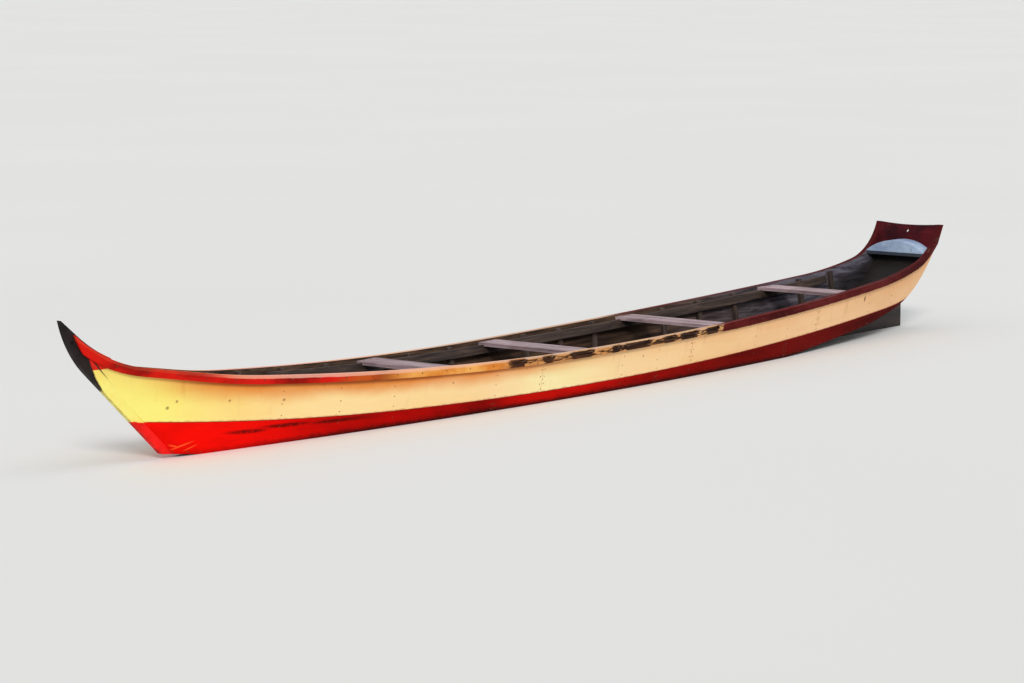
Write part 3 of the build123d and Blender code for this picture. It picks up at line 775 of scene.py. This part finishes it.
def shards(name, rows, look):
    """Long splinters left standing at the ends of each split in the port rail."""
    corners, faces = [], []
    for station, length, depth in rows:
        floor = height("sheer", STEM_FOOT - station) - depth
        for end in (1, -1):
            for _ in range(SHARDS_AT_AN_END):
                root = STEM_FOOT - station + end * (length / 2 - 0.004)
                shortest, longest = SHARD_LENGTH
                reach = -end * dice.uniform(shortest, min(longest, length * SHARD_SHARE))
                low = floor - 0.003 + dice.uniform(0, depth * 0.55)
                thick, tall = dice.uniform(*SHARD_THICK), dice.uniform(*SHARD_TALL)
                out = dice.uniform(*SHARD_INSET)
                first = len(corners)
                for share, size in SHARD_TAPER:
                    x = root + reach * share
                    z = low + dice.uniform(-0.001, 0.002) * share
                    if size:
                        for dy, dz in ((0, 0), (thick, 0.001), (thick, tall), (0, tall * 0.9)):
                            corners.append(skin(x, z + dz * size, 1, -out - dy * size)[0])
                    else:
                        corners.append(skin(x, z + tall * 0.3, 1, -out - thick / 2)[0])
                for k in range(4):
                    n = (k + 1) % 4
                    faces.append((first + k, first + n, first + 4 + n, first + 4 + k))
                    faces.append((first + 4 + k, first + 4 + n, first + 8))
                faces.append((first + 3, first + 2, first + 1, first))
    add_piece(name, corners, faces, look, smooth=False)


def steps(low, high, gap):
    """Even places from low to high, about a gap apart."""
    count = max(1, round((high - low) / gap))
    return [low + (high - low) * i / count for i in range(count + 1)]


def strake_nails(side):
    """Places on the frames, beside the butts and along the bottom's edge, for the upper and lower strake."""
    upper, lower = [], []
    for x in FRAMES_X:
        top = height("sheer", x) - RAIL_DEPTH - NAIL_CLEARANCE
        seam, keel = height("seam", x), height("rocker", x)
        for share in UPPER_SHARES:
            z = seam + (top - seam) * share
            upper.append(skin(x + jitter(FRAME_JITTER), z + jitter(RISE_JITTER), side))
        if seam - keel > LEAST_STRAKE:
            for share in LOWER_SHARES:
                lower.append(skin(x + jitter(FRAME_JITTER), keel + (seam - keel) * share, side))
    for row, numbers in BUTTS.items():
        line, end, nails = ("seam", "sheer", upper) if row == "upper_strake" else ("rocker", "seam", lower)
        for x in [FRAMES_X[number - 1] for number in numbers]:
            for offset in (-BUTT_NAIL_OFFSET, BUTT_NAIL_OFFSET):
                for share in BUTT_SHARES:
                    z = height(line, x) + (height(end, x) - height(line, x)) * share
                    nails.append(skin(x + offset, z, side))
    for x in steps(*BOTTOM_ENDS, BOTTOM_NAIL_GAP):
        lower.append(skin(x + jitter(BOTTOM_JITTER), height("rocker", x) + BOTTOM_NAIL_RISE, side))
    return upper, lower


def rail_nails(side):
    """Places along the rail's middle, and lower down on the broken length."""
    nails = []
    for x in steps(*RAIL_ENDS, RAIL_NAIL_GAP):
        broken = side == 1 and RAIL_JOINTS[0] < STEM_FOOT - x < RAIL_JOINTS[1]
        drop = BROKEN_NAIL_DROP if broken else RAIL_NAIL_DROP
        nails.append(skin(x, height("sheer", x) - drop, side, -RAIL_THICKNESS - FIT))
    return nails


def butt_runs(row, low, high, drop, side):
    """Runs up a strake's butts, from one long curve to a drop below another."""
    runs = []
    for x in [FRAMES_X[number - 1] for number in BUTTS[row]]:
        foot, top = height(low, x) + BUTT_MARGIN, height(high, x) - drop - BUTT_MARGIN
        runs.append([skin(x, z, side) for z in steps(foot, top, BUTT_STEP)])
    return runs


def thwart_nails():
    """Places for three nails at each end of a thwart, over the ribs."""
    nails = []
    for station in THWARTS:
        x = STEM_FOOT - station
        z = height("sheer", x) - THWART_DROP
        reach = breadth(x, z, PLANK + FIT + RIB_DEPTH + THWART_NAIL_INSET)
        for side in (1, -1):
            for along in (-THWART_NAIL_GAP, 0.0, THWART_NAIL_GAP):
                nails.append((Vector((x + along, side * reach, z)), Vector((0, 0, 1))))
    return nails


for side_name, side in (("port", 1), ("starboard", -1)):
    upper, lower = strake_nails(side)
    nail_heads(f"upper_nails_{side_name}", upper, 0.0042, 0.0018, PAINTED_IRON)
    nail_heads(f"lower_nails_{side_name}", lower, 0.0045, 0.0020, IRON)
    nail_heads(f"rail_nails_{side_name}", rail_nails(side), 0.0046, 0.0020, IRON)

    seam_run = [skin(x, height("seam", x) - FIT / 2, side) for x in steps(*SEAM_ENDS, SEAM_STEP)]
    bead(f"seam_caulk_{side_name}", [seam_run], 0.0045, 0.0010, SEAM_CAULK)
    upper_butts = butt_runs("upper_strake", "seam", "sheer", RAIL_DEPTH + 0.002, side)
    bead(f"upper_butts_{side_name}", upper_butts, 0.0036, 0.0008, UPPER_CAULK)
    lower_butts = butt_runs("lower_strake", "rocker", "seam", 0.0, side)
    bead(f"lower_butts_{side_name}", lower_butts, 0.0036, 0.0008, LOWER_CAULK)

shards("rail_splinters", RAIL_SPLITS, SPLINTER)
nail_heads("thwart_nails", thwart_nails(), 0.0052, 0.002, IRON)


# Floor, light and camera
def floor_round_hull(name, reach, look):
    """A plain floor at the water's height, sunk under the hull so that it doesn't show inside the boat."""
    within, sunk_to, wider = PLANK / 2, -0.006, 8
    along = [x for x in steps(-3.0, 3.9, 0.07) if height("rocker", x) + within < WATERLINE]
    rim = [(x, side * breadth(x, WATERLINE, within)) for side in (1, -1) for x in along[::side]]
    middle, count = (along[0] + along[-1]) / 2, len(rim)
    corners = [(middle + (x - middle) * reach, y * wider * reach, WATERLINE) for x, y in rim]
    corners += [(x, y, WATERLINE) for x, y in rim] + [(x, y, sunk_to) for x, y in rim]
    faces = [tuple(range(2 * count, 3 * count))]
    for i in range(count):
        n = (i + 1) % count
        faces.append((i, n, count + n, count + i))
        faces.append((count + i, count + n, 2 * count + n, 2 * count + i))
    new_object(name, corners, faces, look)


def studio_world():
    """Soft even light from a pale sky, which the camera and gloss see brighter than it lights the boat."""
    world = bpy.data.worlds.new("studio")
    bpy.context.scene.world = world
    world.use_nodes = True
    nodes, links = world.node_tree.nodes, world.node_tree.links
    nodes.clear()
    ray = nodes.new("ShaderNodeLightPath")
    seen = nodes.new("ShaderNodeMath")
    seen.operation = "MAXIMUM"
    blend = nodes.new("ShaderNodeMixShader")
    out = nodes.new("ShaderNodeOutputWorld")
    links.new(ray.outputs["Is Camera Ray"], seen.inputs[0])
    links.new(ray.outputs["Is Glossy Ray"], seen.inputs[1])
    links.new(seen.outputs[0], blend.inputs[0])
    for socket, shade, strength in ((1, (0.96, 0.98, 1.0, 1), 0.52), (2, (0.93, 0.94, 0.95, 1), 0.92)):
        glow = nodes.new("ShaderNodeBackground")
        glow.inputs[0].default_value = shade
        glow.inputs[1].default_value = strength
        links.new(glow.outputs[0], blend.inputs[socket])
    links.new(blend.outputs[0], out.inputs[0])


def sun(name, toward, strength, spread, shade):
    light = bpy.data.lights.new(name, "SUN")
    light.energy = strength
    light.angle = math.radians(spread)
    light.color = shade
    made = bpy.data.objects.new(name, light)
    made.rotation_euler = Vector(toward).to_track_quat("-Z", "Y").to_euler()
    bpy.context.scene.collection.objects.link(made)


floor_look = Look("studio_floor")
tone = floor_look.noise((0.15, 0.15, 0.15), 2, 0.5, 95)
floor_look.finish(floor_look.mix(tone, colour(232, 232, 230), colour(238, 238, 237)), 0.75, 0.2)
floor_round_hull("studio_floor", 150, floor_look.material)

studio_world()
sun("key_light", (-0.75, -0.62, -0.62), 1.75, 14, (1.0, 0.97, 0.92))
sun("fill_light", (0.6, -0.5, -1.0), 0.45, 40, (0.95, 0.97, 1.0))

# The photo's viewpoint
EYE = Vector((17.930, 13.698, 3.281))
AIM = Vector((0.50, 0.0, 0.47))
camera_data = bpy.data.cameras.new("photo_view")
camera_data.lens = 112
camera_data.clip_end = 1500
camera = bpy.data.objects.new("photo_view", camera_data)
camera.location = EYE
camera.rotation_euler = (AIM - EYE).to_track_quat("-Z", "Y").to_euler()
bpy.context.scene.collection.objects.link(camera)
bpy.context.scene.camera = camera
bpy.context.scene.view_settings.view_transform = "Standard"

bpy.context.view_layer.update()
